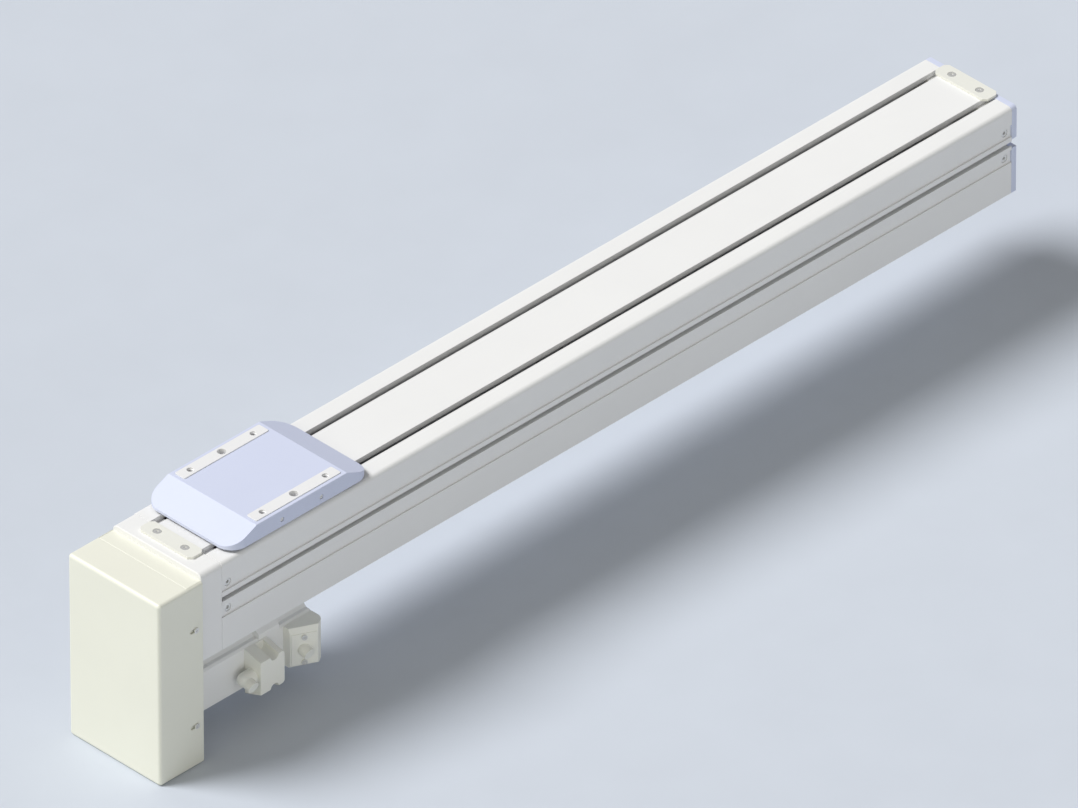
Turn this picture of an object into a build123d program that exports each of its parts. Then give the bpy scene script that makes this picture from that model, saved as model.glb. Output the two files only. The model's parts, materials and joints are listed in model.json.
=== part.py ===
from build123d import *
import math
import os

# Ball screw linear axis with a folded servo motor. All lengths are in millimetres.
# Working frame: X runs along the travel, away from the drive end, from the drive-end face of the
# profile. Y = 0 is the centre plane, +Y on the side away from the connectors. Z = 0 is the base.

# Base profile
profile_width = 105.0
profile_height = 88.8
profile_length = 941.3
profile_top_radius = 4.1
profile_floor = 14.0
wall_thickness = 9.0
lip_thickness = 5.0
lip_reach = 10.3
foot_chamfer = 0.8
groove_depth = 1.5
groove_height = 12.4
upper_groove_z = 65.2
lower_groove_z = 39.1
slot_z = 51.7
slot_mouth = 4.8
slot_lip = 2.05
slot_pocket_height = 9.0
slot_pocket_depth = 4.2
chamber_width = 17.0
chamber_height = 6.0
chamber_floor = 4.0
chamber_rib = 3.0
profile_screw_near_x = 8.3
profile_screw_far_inset = 7.4
side_screw_sink = 0.6
side_screw_length = 12.0

# Base mounting holes, M6 tapped
base_hole_radius = 2.5
base_hole_depth = 12.0
base_row_inset = 16.5
base_outer_half = 360.0
base_inner_half = 120.0
base_centre_x = 540.0

# Cover strip over the opening of the profile
slot_opening = 7.3
strip_side_gap = 0.2
strip_thickness = 5.0
strip_relief_half = 12.0
strip_relief_depth = 2.0
strip_start_x = -12.5

# Strip clamps
clamp_length = 17.2
clamp_overlap = 5.4
clamp_thickness = 2.5
clamp_corner = 3.6
clamp_near_x = -7.6
clamp_far_inset = 2.6
clamp_screw_inset = 9.4
clamp_screw_length = 12.0
clamp_screw_sink = 0.2

# Screw and belt drive
screw_z = 36.6
screw_radius = 8.0
screw_thread_start = 20.0
screw_thread_end_gap = 4.3
screw_shoulder_radius = 7.2
fixed_journal_radius = 6.0
pulley_journal_radius = 5.0
idle_journal_radius = 5.0
idle_journal_end_gap = 1.5
belt_pitch = 5.0
belt_teeth = 66
pulley_teeth = 30
belt_width = 15.0
belt_tip_clearance = 0.3
belt_back = 1.15
belt_tooth_height = 2.0
belt_tooth_width = 2.6
pitch_to_tip = 0.57
pulley_groove_depth = 2.1
pulley_face_width = 16.5
pulley_flange_thickness = 1.2
pulley_flange_radius = 26.5
pulley_hub_radius = 15.0
pulley_hub_length = 7.0
pulley_gap = 3.0
motor_shaft_radius = 7.0
running_clearance = 0.06
turning_gap = 0.4

# Drive end block and its fixed bearing pair
block_length = 24.3
block_top_radius = 5.2
spigot_length = 16.0
spigot_clearance = 0.1
bearing_width = 8.0
bearing_outer_radius = 14.0
bearing_ring = 2.5
bearing_shield = 0.8
retainer_thickness = 4.0
retainer_radius = 22.0
retainer_bore_radius = 12.2
retainer_screw_radius = 18.0
retainer_screw_length = 8.0
retainer_screw_sink = 0.3
lock_nut_radius = 9.5
lock_nut_width = 8.0
lock_nut_notch_width = 3.0
lock_nut_notch_depth = 1.3
block_bore_radius = 11.0

# Idle end support inside the far end of the profile
idle_block_length = 16.0
idle_bearing_radius = 13.0
idle_seat_lip = 3.0
idle_lip_bore_radius = 10.5
circlip_width = 1.1
circlip_radius = 7.0
circlip_groove_radius = 4.7
circlip_half_gap = 1.6
end_plate_thickness = 5.8
end_plate_screw_inset = 16.5
end_plate_screw_length = 12.0
end_plate_head = 3.0
end_plate_screw_low = 24.0
end_plate_screw_high = 72.0

# Stop bumpers
bumper_length = 6.0
bumper_radius = 13.0
bumper_bore_radius = 9.5

# Linear guides
block_wall_gap = 0.7
block_keel_gap = 0.6
rail_width = 12.0
rail_height = 8.0
rail_waist = 1.2
rail_waist_low = 3.2
rail_waist_high = 6.0
rail_end_gap = 2.0
rail_pitch = 75.0
rail_first_hole = 27.5
rail_screw_length = 10.0
rail_screw_sink = 1.5
guide_block_length = 45.4
guide_block_height = 10.0
guide_block_lift = 3.0
guide_block_offset = 37.0
guide_cap_length = 5.0
guide_cap_inset = 0.6
guide_gap = 0.3
guide_screw_inset = 3.75
guide_screw_half = 10.0
guide_screw_seat = 6.0
guide_screw_grip = 4.0

# Carriage: plate, cover, inner saddle and nut
carriage_rest_x = 93.7
carriage_lift = 2.8
carriage_height = 18.9
carriage_half_length = 82.5
cover_flat_half = 53.0
cover_break_half = 55.8
cover_break_drop = 1.3
cover_tip_height = 5.85
cover_corner_radius = 16.6
cover_wall = 2.0
cover_side_hole_gap = 0.7
cover_edge_radius = 0.8
cover_gap = 0.1
plate_half_length = 52.5
pad_proud = 0.8
pad_edge_inset = 3.7
pad_width = 11.9
pad_half_length = 49.5
pad_corner = 1.5
pad_gap = 0.15
mount_hole_half = 36.9
mount_hole_radius = 3.0
dowel_hole_radius = 4.0
mount_hole_depth = 12.0
side_screw_offset = 23.0
side_screw_height = 9.4
saddle_half_length = 60.0
saddle_side_gap = 0.6
saddle_top = 56.6
keel_wall = 1.2
keel_bottom = 19.0
rib_strip_gap = 1.1
rib_lip_gap = 1.0
plate_screw_pitch = 30.0
nut_radius = 14.0
nut_length = 42.0
nut_flange_radius = 24.0
nut_flange_flat = 20.0
nut_flange_thickness = 10.0
nut_bolt_radius = 19.0
nut_bolt_length = 14.0
screw_passage_gap = 2.0
plate_screw_length = 18.0
screw_sink = 0.4

# Pulley housing: mounting plate and cover
housing_height = 185.2
housing_depth = 51.0
housing_top = 83.4
housing_edge_radius = 3.3
mount_plate_thickness = 16.7
mount_plate_edge = 1.5
housing_wall = 1.8
housing_front_wall = 2.5
housing_screw_x = -32.6
housing_screw_high = 38.2
housing_screw_low = -59.9
housing_slot_length = 8.6
housing_slot_width = 4.0
plate_bolt_inset = 14.5
plate_bolt_length = 22.0
plate_bolt_sink = 0.5
bolt_end_room = 1.0
joint_edge = 0.5
plate_bolt_low = 12.0
plate_bolt_high = 70.0
screw_passage_radius = 16.0

# Motor
motor_frame = 60.0
motor_length = 150.2
motor_flange = 7.0
motor_flange_corner = 5.0
motor_pilot_radius = 25.0
motor_pilot = 2.5
motor_bolt_circle = 70.0
motor_bolt_length = 16.0
motor_bolt_grip = 12.0
motor_flat_half = 19.55
motor_flat_chamfer = 1.75
motor_ledge = 3.6
motor_rear_radius = 3.0
motor_rear_x = 64.0
motor_box_end_x = 88.0
motor_box_step = 5.25
motor_shaft_reach = 35.0
motor_shaft_depth = 30.0
motor_seal_radius = 13.0
motor_seal_width = 5.0
motor_seal_depth = 4.0

# Connectors on the motor side
connector_inner_high = 19.7
connector_inner_low = 25.4
connector_outer_high = 14.5
connector_outer_low = 18.3
connector_reach = 20.0
connector_one_x = 46.8
connector_one_length = 28.0
connector_rear_radius = 3.0
connector_groove_x = 63.2
connector_groove_width = 9.6
connector_groove_depth = 4.3
connector_groove_wall = 1.5
connector_foot = 0.8
connector_two_x = 92.8
connector_two_end = 125.5
connector_two_low = 20.0
connector_two_near_reach = 8.0
connector_two_far_reach = 19.1
connector_two_rear_reach = 13.0
connector_two_rear = 10.5
connector_two_corner = 8.0
bevel_height = 4.9
bevel_depth = 1.7
sole_height = 2.0
panel_width = 22.6
panel_height = 30.8
panel_drop = 1.6
panel_rise = 0.7
connector_screw_half = 12.6
connector_screw_length = 6.0
boss_radius = 6.6
boss_end_radius = 5.5
boss_drop = 2.5
boss_out = 10.0
boss_length = 9.0
elbow_reach = 11.0
elbow_droop = 0.3
encoder_ball_radius = 5.8
encoder_elbow_reach = 6.5

# Screw sizes: thread radius, head radius, head height, socket width across flats
m3 = (1.5, 2.75, 3.0, 2.5)
m4 = (2.0, 3.5, 4.0, 3.0)
m5 = (2.5, 4.25, 5.0, 4.0)
m6 = (3.0, 5.0, 6.0, 5.0)
low_m3 = (1.5, 2.6, 1.5, 2.0)
low_m4 = (2.0, 3.7, 1.2, 2.5)
thread_clearance = 0.1
head_clearance = 0.15

# Derived places
half_width = profile_width / 2
cavity_half = half_width - wall_thickness
mouth_half_width = cavity_half - lip_reach
strip_half_width = mouth_half_width - slot_opening
clamp_half_width = strip_half_width + clamp_overlap
clamp_screw_half = strip_half_width - clamp_screw_inset
clamp_far_x = profile_length - clamp_far_inset
base_row_half = half_width - base_row_inset
end_plate_screw_half = half_width - end_plate_screw_inset
plate_bolt_half = half_width - plate_bolt_inset
housing_width = profile_width + 2 * housing_wall
keel_half_width = nut_radius + keel_wall
guide_inner_y = keel_half_width + block_keel_gap
guide_outer_y = cavity_half - block_wall_gap
guide_block_width = guide_outer_y - guide_inner_y
rail_y = (guide_outer_y + guide_inner_y) / 2
guide_screw_out = guide_block_width / 2 - guide_screw_inset
saddle_half_width = cavity_half - saddle_side_gap
rib_inner = strip_half_width + rib_strip_gap
rib_outer = mouth_half_width - rib_lip_gap
pad_outer = half_width - pad_edge_inset
pad_inner = pad_outer - pad_width
mount_row_half = (pad_inner + pad_outer) / 2
cavity_top = profile_height - lip_thickness
block_start_x = -block_length
mount_plate_start_x = block_start_x - mount_plate_thickness
plate_bolt_seat = mount_plate_start_x + m6[2] + plate_bolt_sink
housing_start_x = block_start_x - housing_depth
housing_bottom = housing_top - housing_height
strip_bottom = profile_height - strip_thickness
pitch_radius = pulley_teeth * belt_pitch / (2 * math.pi)
shaft_distance = (belt_teeth - pulley_teeth) * belt_pitch / 2
motor_z = screw_z - shaft_distance
pulley_tip_radius = pitch_radius - pitch_to_tip
pulley_face_end_x = mount_plate_start_x - pulley_gap
pulley_mid_x = pulley_face_end_x - pulley_flange_thickness - pulley_face_width / 2
bearing_start_x = block_start_x + retainer_thickness
bearing_end_x = bearing_start_x + 2 * bearing_width
idle_start_x = profile_length - idle_block_length
idle_bearing_x = idle_start_x + idle_seat_lip
screw_thread_end = idle_start_x - screw_thread_end_gap
motor_start_x = block_start_x
motor_end_x = motor_start_x + motor_length
guide_block_bottom = profile_floor + guide_block_lift
saddle_bottom = guide_block_bottom + guide_block_height
carriage_bottom = profile_height + carriage_lift
carriage_top = profile_height + carriage_height
pad_top = carriage_top + pad_proud
plate_top = carriage_top - cover_wall - cover_gap
plate_half_width = half_width - cover_wall - cover_gap
profile_screw_far_x = profile_length - profile_screw_far_inset
side_screw_head_depth = groove_depth + m4[2] + side_screw_sink
side_screw_seat = half_width - side_screw_head_depth
plate_screw_seat = plate_top - m3[2] - screw_sink
nut_end_x = carriage_rest_x + saddle_half_length + nut_flange_thickness
pulley_start_x = pulley_face_end_x - pulley_face_width - 2 * pulley_flange_thickness
connector_two_face_end = connector_two_end - connector_two_rear


def rect(y_low, y_high, z_low, z_high):
    """Rectangle in a cross-section, where the sketch's axes are Y and Z."""
    centre = Pos((y_low + y_high) / 2, (z_low + z_high) / 2)
    return centre * Rectangle(y_high - y_low, z_high - z_low)


def disc(y, z, radius):
    """Circle in a cross-section."""
    return Pos(y, z) * Circle(radius)


def bar(section, x_start, length):
    """Cross-section drawn in Y and Z, made into a bar along +X."""
    return extrude(Plane.YZ.offset(x_start) * section, amount=length)


def block(x_low, x_high, y_low, y_high, z_low, z_high):
    """Plain block between two corners."""
    return bar(rect(y_low, y_high, z_low, z_high), x_low, x_high - x_low)


def rod(y, z, radius, x_low, x_high):
    """Round bar along X."""
    return bar(disc(y, z, radius), x_low, x_high - x_low)


def tube(y, z, outer, inner, x_low, x_high):
    """Round sleeve along X."""
    return bar(disc(y, z, outer) - disc(y, z, inner), x_low, x_high - x_low)


def drill(x, y, z, radius, depth, direction):
    """Round hole from a surface point into the material along direction."""
    axis = Vector(*direction)
    return extrude(Plane(origin=(x, y, z), z_dir=axis) * Circle(radius), amount=depth)


def screw(size, length, x, y, z, direction, socket=True):
    """Cap screw whose head seats at the point given and whose shank runs along direction."""
    radius, head_radius, head_height, across_flats = size
    axis = Vector(*direction)
    seat = Plane(origin=(x, y, z), z_dir=axis)
    body = extrude(seat * Circle(radius), amount=length)
    body += extrude(seat * Circle(head_radius), amount=-head_height)
    if socket:
        top = seat.offset(-head_height)
        hexagon = RegularPolygon(across_flats / 2, 6, major_radius=False)
        body -= extrude(top * hexagon, amount=head_height * 0.5)
    return body


def tapped(size, length, x, y, z, direction):
    """Hole for a screw's shank, a little wider than its thread."""
    return drill(x, y, z, size[0] + thread_clearance, length, direction)


def counterbore(size, depth, x, y, z, direction):
    """Recess for a screw's head, measured from the surface point along direction."""
    return drill(x, y, z, size[1] + head_clearance, depth, direction)


# Base profile

def profile_section():
    """U-shaped extrusion with lips, a T-slot between two shallow grooves on each side."""
    outline = rect(-half_width, half_width, 0, profile_height)
    outline = fillet(outline.vertices().group_by(Axis.Y)[-1], profile_top_radius)
    outline = chamfer(outline.vertices().group_by(Axis.Y)[0], foot_chamfer)
    outline -= rect(-cavity_half, cavity_half, profile_floor, cavity_top)
    outline -= rect(-mouth_half_width, mouth_half_width, cavity_top - 1, profile_height + 1)
    for side in (-1, 1):
        edge = side * half_width
        for groove_z in (upper_groove_z, lower_groove_z):
            outline -= Pos(edge, groove_z) * Rectangle(2 * groove_depth, groove_height)
        outline -= Pos(edge, slot_z) * Rectangle(2 * (slot_lip + 1), slot_mouth)
        pocket_y = edge - side * (slot_lip + slot_pocket_depth / 2)
        outline -= Pos(pocket_y, slot_z) * Rectangle(slot_pocket_depth, slot_pocket_height)
        chamber_y = side * (chamber_rib + chamber_width) / 2
        chamber_z = chamber_floor + chamber_height / 2
        outline -= Pos(chamber_y, chamber_z) * Rectangle(chamber_width, chamber_height)
    return outline


def rail_hole_places():
    """Distances along the profile of the guide rail screws."""
    count = int((profile_length - spigot_length - idle_block_length - rail_first_hole) // rail_pitch) + 1
    return [spigot_length + rail_first_hole + index * rail_pitch for index in range(count)]


def profile_screw_places():
    """(x, z) of the screws through each side wall into the two end supports."""
    return [
        (x, z)
        for x in (profile_screw_near_x, profile_screw_far_x)
        for z in (upper_groove_z, lower_groove_z)
    ]


def base_profile():
    body = bar(profile_section(), 0, profile_length)
    cuts = []
    for x in (base_outer_half, base_inner_half):
        for along in (-1, 1):
            for across in (-1, 1):
                place = (base_centre_x + along * x, across * base_row_half, 0)
                cuts.append(drill(*place, base_hole_radius, base_hole_depth, (0, 0, 1)))
    for side in (-1, 1):
        inward = (0, -side, 0)
        for x, z in profile_screw_places():
            cuts.append(counterbore(m4, side_screw_head_depth, x, side * half_width, z, inward))
            cuts.append(tapped(m4, wall_thickness + 1, x, side * half_width, z, inward))
        for x in rail_hole_places():
            place = (x, side * rail_y, profile_floor)
            cuts.append(tapped(m3, rail_screw_length, *place, (0, 0, -1)))
    return body - cuts


def profile_side_screws():
    screws = []
    for side in (-1, 1):
        for x, z in profile_screw_places():
            screws.append(screw(m4, side_screw_length, x, side * side_screw_seat, z, (0, -side, 0)))
    return Compound(children=screws)


# Cover strip and its clamps

def cover_strip():
    section = rect(-strip_half_width, strip_half_width, strip_bottom, profile_height)
    relief_top = strip_bottom + strip_relief_depth
    section -= rect(-strip_relief_half, strip_relief_half, strip_bottom, relief_top)
    body = bar(section, strip_start_x, profile_length - strip_start_x)
    for x in (clamp_near_x, clamp_far_x):
        for side in (-1, 1):
            place = (x, side * clamp_screw_half, profile_height)
            body -= drill(*place, m4[0] + 3 * thread_clearance, strip_thickness, (0, 0, -1))
    return body


def strip_clamp(x):
    """Flat bar with clipped corners that holds one end of the cover strip down."""
    outline = Pos(x, 0) * Rectangle(clamp_length, 2 * clamp_half_width)
    outline = chamfer(outline.vertices(), clamp_corner)
    body = extrude(Plane.XY.offset(profile_height) * outline, amount=clamp_thickness)
    top = profile_height + clamp_thickness
    for side in (-1, 1):
        place = (x, side * clamp_screw_half, top)
        body -= counterbore(low_m4, low_m4[2] + clamp_screw_sink, *place, (0, 0, -1))
        body -= drill(*place, m4[0] + 2 * thread_clearance, clamp_thickness, (0, 0, -1))
    return body


def clamp_screws():
    seat = profile_height + clamp_thickness - low_m4[2] - clamp_screw_sink
    screws = []
    for x in (clamp_near_x, clamp_far_x):
        for side in (-1, 1):
            screws.append(screw(low_m4, clamp_screw_length, x, side * clamp_screw_half, seat, (0, 0, -1)))
    return Compound(children=screws)


def clamp_screw_holes(x):
    """Tapped holes in an end support for the two strip clamp screws."""
    return [
        tapped(m4, clamp_screw_length, x, side * clamp_screw_half, strip_bottom + 0.5, (0, 0, -1))
        for side in (-1, 1)
    ]


# Drive end block, bearings and retainer

def spigot_section():
    """Plug that fills the inside of the profile with a little clearance."""
    outer = cavity_half - spigot_clearance
    section = rect(-outer, outer, profile_floor, cavity_top)
    return section


def side_tapped_holes(x):
    """Tapped holes in an end support for the screws through the profile's walls."""
    holes = []
    for side in (-1, 1):
        for z in (upper_groove_z, lower_groove_z):
            start = (x, side * (cavity_half + 1), z)
            holes.append(tapped(m4, side_screw_length, *start, (0, -side, 0)))
    return holes


def plate_bolt_places():
    """(y, z) of the bolts from the mounting plate into the drive end block."""
    return [(side * plate_bolt_half, z) for side in (-1, 1) for z in (plate_bolt_low, plate_bolt_high)]


def retainer_screw_places():
    """(y, z) of the bearing retainer's screws."""
    places = []
    for index in range(4):
        angle = math.radians(45 + 90 * index)
        y = retainer_screw_radius * math.cos(angle)
        places.append((y, screw_z + retainer_screw_radius * math.sin(angle)))
    return places


def drive_end_block():
    outline = rect(-half_width, half_width, 0, profile_height)
    outline = fillet(outline.vertices().group_by(Axis.Y)[-1], block_top_radius)
    outline = chamfer(outline.vertices().group_by(Axis.Y)[0], foot_chamfer)
    body = bar(outline, block_start_x, block_length)
    ends = body.faces().sort_by(Axis.X)
    body = chamfer(ends[0].edges() + ends[-1].edges(), joint_edge)
    body += bar(spigot_section(), 0, spigot_length)
    half_strip = strip_half_width + strip_side_gap
    strip_end = strip_start_x - strip_side_gap
    body -= block(strip_end, 1, -half_strip, half_strip, strip_bottom, profile_height + 1)
    body -= rod(0, screw_z, retainer_radius + 0.1, block_start_x, bearing_start_x)
    body -= rod(0, screw_z, bearing_outer_radius, bearing_start_x, bearing_end_x)
    body -= rod(0, screw_z, block_bore_radius, bearing_end_x, spigot_length)
    body -= clamp_screw_holes(clamp_near_x)
    body -= side_tapped_holes(profile_screw_near_x)
    for y, z in plate_bolt_places():
        body -= tapped(m6, plate_bolt_length + bolt_end_room, plate_bolt_seat, y, z, (1, 0, 0))
    for y, z in retainer_screw_places():
        body -= tapped(m3, retainer_screw_length, bearing_start_x, y, z, (1, 0, 0))
    return body


def bearing_outer(outer, inner, x_low, width):
    """Outer ring of a shielded bearing, with both shields reaching in to the inner ring."""
    shield_inner = inner + bearing_ring + turning_gap
    ring = tube(0, screw_z, outer, outer - bearing_ring, x_low, x_low + width)
    ring += tube(0, screw_z, outer, shield_inner, x_low, x_low + bearing_shield)
    ring += tube(0, screw_z, outer, shield_inner, x_low + width - bearing_shield, x_low + width)
    return ring


def bearing_inner(inner, x_low, width):
    return tube(0, screw_z, inner + bearing_ring, inner, x_low, x_low + width)


def fixed_bearing_outer_rings():
    rings = []
    for index in range(2):
        x = bearing_start_x + index * bearing_width
        rings.append(bearing_outer(bearing_outer_radius, fixed_journal_radius, x, bearing_width))
    return Compound(children=rings)


def fixed_bearing_inner_rings():
    rings = []
    for index in range(2):
        x = bearing_start_x + index * bearing_width
        rings.append(bearing_inner(fixed_journal_radius, x, bearing_width))
    return Compound(children=rings)


def bearing_retainer():
    body = tube(0, screw_z, retainer_radius, retainer_bore_radius, block_start_x, bearing_start_x)
    for y, z in retainer_screw_places():
        body -= counterbore(low_m3, low_m3[2] + retainer_screw_sink, block_start_x, y, z, (1, 0, 0))
        body -= tapped(m3, retainer_thickness, block_start_x, y, z, (1, 0, 0))
    return body


def bearing_retainer_screws():
    seat = block_start_x + low_m3[2] + retainer_screw_sink
    length = retainer_screw_length
    screws = [screw(low_m3, length, seat, y, z, (1, 0, 0)) for y, z in retainer_screw_places()]
    return Compound(children=screws)


def bearing_lock_nut():
    start = bearing_start_x - lock_nut_width
    body = tube(0, screw_z, lock_nut_radius, fixed_journal_radius, start, bearing_start_x)
    for index in range(4):
        notch = Pos(0, lock_nut_radius) * Rectangle(lock_nut_notch_width, 2 * lock_nut_notch_depth)
        notch = Pos(0, screw_z) * Rot(0, 0, 90 * index) * notch
        body -= bar(notch, start, lock_nut_width / 2)
    return body


# Idle end support

def idle_end_block():
    body = bar(spigot_section(), idle_start_x, idle_block_length)
    body -= rod(0, screw_z, idle_lip_bore_radius, idle_start_x, idle_bearing_x)
    body -= rod(0, screw_z, idle_bearing_radius, idle_bearing_x, profile_length)
    body -= clamp_screw_holes(clamp_far_x)
    body -= side_tapped_holes(profile_screw_far_x)
    for y, z in end_plate_screw_places():
        body -= tapped(m5, end_plate_screw_length, profile_length, y, z, (-1, 0, 0))
    return body


def end_plate_screw_places():
    """(y, z) of the end plate's screws."""
    rows = (end_plate_screw_low, end_plate_screw_high)
    return [(side * end_plate_screw_half, z) for side in (-1, 1) for z in rows]


def end_plate():
    outline = rect(-half_width, half_width, 0, profile_height)
    outline = fillet(outline.vertices().group_by(Axis.Y)[-1], profile_top_radius)
    outline = chamfer(outline.vertices().group_by(Axis.Y)[0], foot_chamfer)
    notch_reach = slot_lip + slot_pocket_depth
    for side in (-1, 1):
        outline -= Pos(side * half_width, slot_z) * Rectangle(2 * notch_reach, slot_pocket_height)
    body = bar(outline, profile_length, end_plate_thickness)
    outer_x = profile_length + end_plate_thickness
    for y, z in end_plate_screw_places():
        body -= counterbore(m5, end_plate_head, outer_x, y, z, (-1, 0, 0))
        body -= tapped(m5, end_plate_thickness, outer_x, y, z, (-1, 0, 0))
    return body


def end_plate_screws():
    low_m5 = (m5[0], m5[1], end_plate_head, m4[3])
    seat = profile_length + end_plate_thickness - end_plate_head
    length = end_plate_screw_length
    screws = [screw(low_m5, length, seat, y, z, (-1, 0, 0)) for y, z in end_plate_screw_places()]
    return Compound(children=screws)


def stop_bumper(x):
    return tube(0, screw_z, bumper_radius, bumper_bore_radius, x, x + bumper_length)


# Linear guides

def rail_section(side):
    """Guide rail with a waist on each side for the running balls."""
    y = side * rail_y
    section = rect(y - rail_width / 2, y + rail_width / 2, profile_floor, profile_floor + rail_height)
    for edge in (-1, 1):
        face = y + edge * rail_width / 2
        low = profile_floor + rail_waist_low
        high = profile_floor + rail_waist_high
        inner = face - edge * rail_waist
        corners = [(face, low), (inner, low + rail_waist), (inner, high - rail_waist), (face, high)]
        section -= Polygon(*corners, align=None)
    return section


def guide_rail(side):
    start = spigot_length + rail_end_gap
    end = idle_start_x - rail_end_gap
    body = bar(rail_section(side), start, end - start)
    top = profile_floor + rail_height
    for x in rail_hole_places():
        body -= counterbore(m3, m3[2] + rail_screw_sink, x, side * rail_y, top, (0, 0, -1))
        body -= tapped(m3, rail_height, x, side * rail_y, top, (0, 0, -1))
    return body


def rail_screws():
    seat = profile_floor + rail_height - m3[2] - rail_screw_sink
    screws = []
    for side in (-1, 1):
        for x in rail_hole_places():
            screws.append(screw(m3, rail_screw_length, x, side * rail_y, seat, (0, 0, -1), socket=False))
    return Compound(children=screws)


def guide_block(side, along):
    """Recirculating guide block: steel body with a plastic-shaped cap step at each end."""
    y = side * rail_y
    x = carriage_rest_x + along * guide_block_offset
    top = guide_block_bottom + guide_block_height
    channel = rail_width / 2 + guide_gap
    half = guide_block_width / 2
    roof = profile_floor + rail_height + guide_gap
    section = rect(y - half, y + half, guide_block_bottom, top)
    section -= rect(y - channel, y + channel, guide_block_bottom - 1, roof)
    cap_half = half - guide_cap_inset
    cap = rect(y - cap_half, y + cap_half, guide_block_bottom, top - guide_cap_inset)
    cap -= rect(y - channel, y + channel, guide_block_bottom - 1, roof)
    steel = guide_block_length - 2 * guide_cap_length
    body = bar(section, x - steel / 2, steel)
    body += bar(cap, x - guide_block_length / 2, guide_block_length)
    for hole_x, hole_y in guide_screw_places(side, along):
        body -= tapped(m3, guide_screw_grip + 0.5, hole_x, hole_y, top, (0, 0, -1))
    return body


# Ball screw assembly

def ball_screw():
    pulley_end = pulley_start_x - pulley_hub_length
    body = rod(0, screw_z, screw_radius, screw_thread_start, screw_thread_end)
    body += rod(0, screw_z, screw_shoulder_radius, bearing_end_x, idle_bearing_x)
    body += rod(0, screw_z, fixed_journal_radius, bearing_start_x - lock_nut_width, bearing_end_x)
    body += rod(0, screw_z, pulley_journal_radius, pulley_end, bearing_start_x)
    body += rod(0, screw_z, idle_journal_radius, idle_bearing_x, profile_length - idle_journal_end_gap)
    groove_x = idle_bearing_x + bearing_width
    body -= tube(0, screw_z, screw_radius, circlip_groove_radius, groove_x, groove_x + circlip_width)
    return body


def journal_circlip():
    x = idle_bearing_x + bearing_width
    ring = disc(0, screw_z, circlip_radius) - disc(0, screw_z, circlip_groove_radius)
    ring -= rect(-circlip_half_gap, circlip_half_gap, screw_z, screw_z + circlip_radius + 1)
    return bar(ring, x, circlip_width)


def pulley_section(y, z):
    """Toothed wheel outline: round-bottomed grooves cut into the tip circle."""
    section = Circle(pulley_tip_radius)
    groove = Pos(pulley_tip_radius, 0) * Rectangle(2 * pulley_groove_depth, belt_tooth_width + 0.6)
    groove = fillet(groove.vertices().group_by(Axis.X)[0], 0.9)
    grooves = [Rot(0, 0, index * 360 / pulley_teeth) * groove for index in range(pulley_teeth)]
    section -= grooves
    return Pos(y, z) * section


def toothed_pulley(z, bore, hub_end):
    end = pulley_face_end_x
    start = pulley_start_x
    body = bar(pulley_section(0, z), start, end - start)
    body += rod(0, z, pulley_flange_radius, end - pulley_flange_thickness, end)
    body += rod(0, z, pulley_flange_radius, start, start + pulley_flange_thickness)
    body += rod(0, z, pulley_hub_radius, start - pulley_hub_length, start)
    body -= rod(0, z, bore, hub_end, end)
    return body


def screw_pulley():
    return toothed_pulley(screw_z, pulley_journal_radius, pulley_start_x - pulley_hub_length)


def motor_pulley():
    return toothed_pulley(motor_z, motor_shaft_radius, motor_start_x - motor_shaft_reach)


def belt_loop(radius):
    """Stadium outline round both shafts at the given distance from them."""
    middle = (screw_z + motor_z) / 2
    outline = Pos(0, middle) * Rectangle(2 * radius, shaft_distance)
    outline += disc(0, screw_z, radius)
    outline += disc(0, motor_z, radius)
    return outline


def timing_belt():
    inner = pulley_tip_radius + belt_tip_clearance
    outer = pitch_radius + belt_back
    section = belt_loop(outer) - belt_loop(inner)
    wrap_margin = 2.5 * belt_pitch
    count = int((shaft_distance - 2 * wrap_margin) / belt_pitch) + 1
    first = (screw_z + motor_z) / 2 - (count - 1) * belt_pitch / 2
    for side in (-1, 1):
        for index in range(count):
            tooth_y = side * (inner - belt_tooth_height / 2 + 0.1)
            tooth = Rectangle(belt_tooth_height + 0.2, belt_tooth_width)
            section += Pos(tooth_y, first + index * belt_pitch) * tooth
    return bar(section, pulley_mid_x - belt_width / 2, belt_width)


def ball_nut():
    end = carriage_rest_x + saddle_half_length
    flats = Pos(0, screw_z) * Rectangle(2 * nut_flange_radius, 2 * nut_flange_flat)
    flange = disc(0, screw_z, nut_flange_radius) & flats
    body = bar(flange, end, nut_flange_thickness)
    body += rod(0, screw_z, nut_radius, end - nut_length, end)
    body -= rod(0, screw_z, screw_radius + running_clearance, end - nut_length, nut_end_x)
    for y, z in nut_bolt_places():
        body -= counterbore(m4, m4[2] + screw_sink, nut_end_x, y, z, (-1, 0, 0))
        body -= tapped(m4, nut_flange_thickness, nut_end_x, y, z, (-1, 0, 0))
    return body


def nut_bolt_places():
    """(y, z) of the bolts through the ball nut's flange."""
    places = []
    for angle in (0, 60, 120, 180):
        y = nut_bolt_radius * math.cos(math.radians(angle))
        places.append((y, screw_z + nut_bolt_radius * math.sin(math.radians(angle))))
    return places


def nut_screws():
    seat = nut_end_x - m4[2] - screw_sink
    screws = [screw(m4, nut_bolt_length, seat, y, z, (-1, 0, 0)) for y, z in nut_bolt_places()]
    return Compound(children=screws)


# Carriage

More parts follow.
